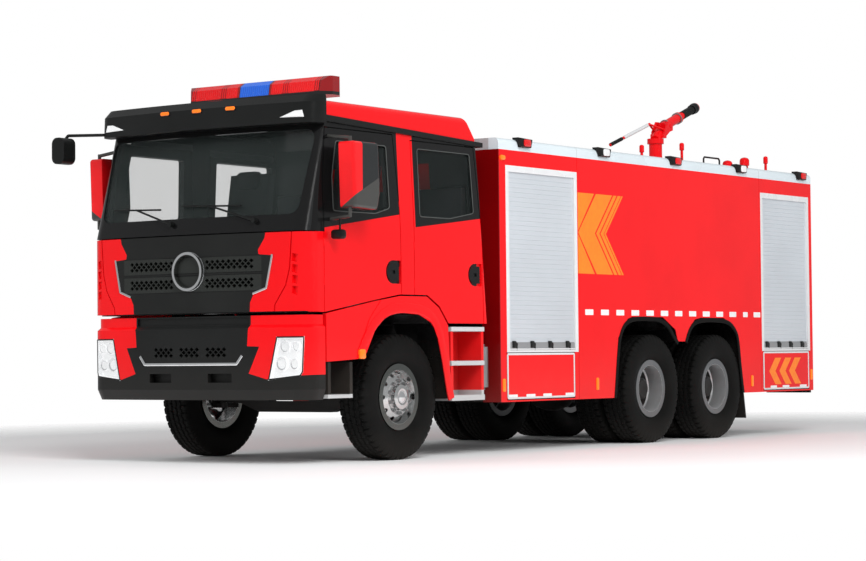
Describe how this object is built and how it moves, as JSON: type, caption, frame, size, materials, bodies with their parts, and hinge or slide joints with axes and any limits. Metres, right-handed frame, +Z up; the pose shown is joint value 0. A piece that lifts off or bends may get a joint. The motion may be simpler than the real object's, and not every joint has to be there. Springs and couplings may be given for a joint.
{
  "type": "fire truck",
  "caption": "Three-axle fire truck with a tilting crew cab, a tank body with roller shutters and fold-down steps, and a roof monitor.",
  "frame": {"origin": "on the ground at the middle of the truck's length and width", "axes": "+X to the truck's left side, +Y towards its rear, +Z up"},
  "size_m": [3.06, 9.77, 3.8779],
  "materials": {
    "red_paint": "gloss enamel",
    "chassis_paint": "satin black",
    "engine_iron": "rough cast",
    "black_plastic": "fine grain",
    "lamp_glass": "clear lens",
    "step_metal": "brushed",
    "white_frame": "satin",
    "shutter_slats": "satin anodised",
    "window_glass": "tinted",
    "beacon_plastic": "clear coloured lens",
    "polished_rim": "polished",
    "silver_rim": "silver paint",
    "tyre_rubber": "rubber"
  },
  "bodies": {
    "root": {"chassis_frame": "chassis_paint", "engine_block": "engine_iron", "front_axle": "chassis_paint", "rear_axles": "chassis_paint", "leaf_springs": "chassis_paint", "bumper": "red_paint", "bumper_grille": "black_plastic", "headlamps": "lamp_glass", "fenders": "red_paint", "cab_steps": "step_metal", "air_tanks": "step_metal", "body_shell": "red_paint", "roof_deck": "white_frame", "shutter_frames": "white_frame", "roller_shutters": "shutter_slats", "mud_flaps_bumper": "black_plastic", "rear_ladder": "step_metal", "monitor_base": "red_paint"},
    "cab": {"cab_shell": "red_paint", "windshield": "window_glass", "visor": "black_plastic", "light_bar": "beacon_plastic", "corner_deflectors": "red_paint", "wipers": "black_plastic", "cab_interior": "black_plastic"},
    "front_lid": {"front_lid": "red_paint", "grille": "black_plastic"},
    "monitor_swivel": {"monitor_swivel": "red_paint"},
    "monitor_barrel": {"monitor_barrel": "red_paint"},
    "door_front_left": {"door_front_left": "red_paint", "door_glass_front_left": "window_glass", "mirror_left": "black_plastic"},
    "door_rear_left": {"door_rear_left": "red_paint", "door_glass_rear_left": "window_glass"},
    "flap_front_left": {"flap_front_left": "red_paint"},
    "flap_rear_left": {"flap_rear_left": "red_paint"},
    "knuckle_left": {"knuckle_left": "chassis_paint"},
    "wheel_front_left": {"tyre_front_left": "tyre_rubber", "rim_front_left": "polished_rim"},
    "wheels_middle_left": {"tyres_middle_left": "tyre_rubber", "rims_middle_left": "silver_rim"},
    "wheels_rear_left": {"tyres_rear_left": "tyre_rubber", "rims_rear_left": "silver_rim"},
    "door_front_right": {"door_front_right": "red_paint", "door_glass_front_right": "window_glass", "mirror_right": "black_plastic"},
    "door_rear_right": {"door_rear_right": "red_paint", "door_glass_rear_right": "window_glass"},
    "flap_front_right": {"flap_front_right": "red_paint"},
    "flap_rear_right": {"flap_rear_right": "red_paint"},
    "knuckle_right": {"knuckle_right": "chassis_paint"},
    "wheel_front_right": {"tyre_front_right": "tyre_rubber", "rim_front_right": "polished_rim"},
    "wheels_middle_right": {"tyres_middle_right": "tyre_rubber", "rims_middle_right": "silver_rim"},
    "wheels_rear_right": {"tyres_rear_right": "tyre_rubber", "rims_rear_right": "silver_rim"}
  },
  "joints": [
    {"name": "cab_tilt", "type": "hinge", "parent": "root", "child": "cab", "pos_m": [0, -4.67, 1], "axis": [1, 0, 0], "range_deg": [0, 45]},
    {"name": "front_lid_lift", "type": "hinge", "parent": "cab", "child": "front_lid", "pos_m": [0, -4.77, 1.996], "axis": [-1, 0, 0], "range_deg": [0, 70]},
    {"name": "door_front_left_swing", "type": "hinge", "parent": "cab", "child": "door_front_left", "pos_m": [1.245, -4.4465, 1.7], "axis": [0, 0, -1], "range_deg": [0, 70]},
    {"name": "door_rear_left_swing", "type": "hinge", "parent": "cab", "child": "door_rear_left", "pos_m": [1.245, -3.1185, 1.7], "axis": [0, 0, -1], "range_deg": [0, 70]},
    {"name": "flap_front_left_fold", "type": "hinge", "parent": "root", "child": "flap_front_left", "pos_m": [1.25, -1.02, 0.505], "axis": [0, 1, 0], "range_deg": [0, 90]},
    {"name": "flap_rear_left_fold", "type": "hinge", "parent": "root", "child": "flap_rear_left", "pos_m": [1.25, 4.17, 0.505], "axis": [0, 1, 0], "range_deg": [0, 90]},
    {"name": "steer_left", "type": "hinge", "parent": "root", "child": "knuckle_left", "pos_m": [0.9, -3.245, 0.561], "axis": [0, 0, 1], "range_deg": [-35, 35]},
    {"name": "wheel_front_left_roll", "type": "hinge", "parent": "knuckle_left", "child": "wheel_front_left", "pos_m": [1.03, -3.245, 0.561], "axis": [1, 0, 0], "continuous": true},
    {"name": "wheels_middle_left_roll", "type": "hinge", "parent": "root", "child": "wheels_middle_left", "pos_m": [0.925, 1.13, 0.561], "axis": [1, 0, 0], "continuous": true},
    {"name": "wheels_rear_left_roll", "type": "hinge", "parent": "root", "child": "wheels_rear_left", "pos_m": [0.925, 2.53, 0.561], "axis": [1, 0, 0], "continuous": true},
    {"name": "door_front_right_swing", "type": "hinge", "parent": "cab", "child": "door_front_right", "pos_m": [-1.245, -4.4465, 1.7], "axis": [0, 0, 1], "range_deg": [0, 70]},
    {"name": "door_rear_right_swing", "type": "hinge", "parent": "cab", "child": "door_rear_right", "pos_m": [-1.245, -3.1185, 1.7], "axis": [0, 0, 1], "range_deg": [0, 70]},
    {"name": "flap_front_right_fold", "type": "hinge", "parent": "root", "child": "flap_front_right", "pos_m": [-1.25, -1.02, 0.505], "axis": [0, -1, 0], "range_deg": [0, 90]},
    {"name": "flap_rear_right_fold", "type": "hinge", "parent": "root", "child": "flap_rear_right", "pos_m": [-1.25, 4.17, 0.505], "axis": [0, -1, 0], "range_deg": [0, 90]},
    {"name": "steer_right", "type": "hinge", "parent": "root", "child": "knuckle_right", "pos_m": [-0.9, -3.245, 0.561], "axis": [0, 0, 1], "range_deg": [-35, 35]},
    {"name": "wheel_front_right_roll", "type": "hinge", "parent": "knuckle_right", "child": "wheel_front_right", "pos_m": [-1.03, -3.245, 0.561], "axis": [1, 0, 0], "continuous": true},
    {"name": "wheels_middle_right_roll", "type": "hinge", "parent": "root", "child": "wheels_middle_right", "pos_m": [-0.925, 1.13, 0.561], "axis": [1, 0, 0], "continuous": true},
    {"name": "wheels_rear_right_roll", "type": "hinge", "parent": "root", "child": "wheels_rear_right", "pos_m": [-0.925, 2.53, 0.561], "axis": [1, 0, 0], "continuous": true},
    {"name": "monitor_turn", "type": "hinge", "parent": "root", "child": "monitor_swivel", "pos_m": [0, 3.415, 3.33], "axis": [0, 0, 1], "range_deg": [-170, 170]},
    {"name": "monitor_raise", "type": "hinge", "parent": "monitor_swivel", "child": "monitor_barrel", "pos_m": [0, 3.615, 3.55], "axis": [1, 0, 0], "range_deg": [-20, 50]}
  ],
  "couplings": [
    {"joint": "steer_right", "follows": "steer_left", "ratio": 1}
  ]
}
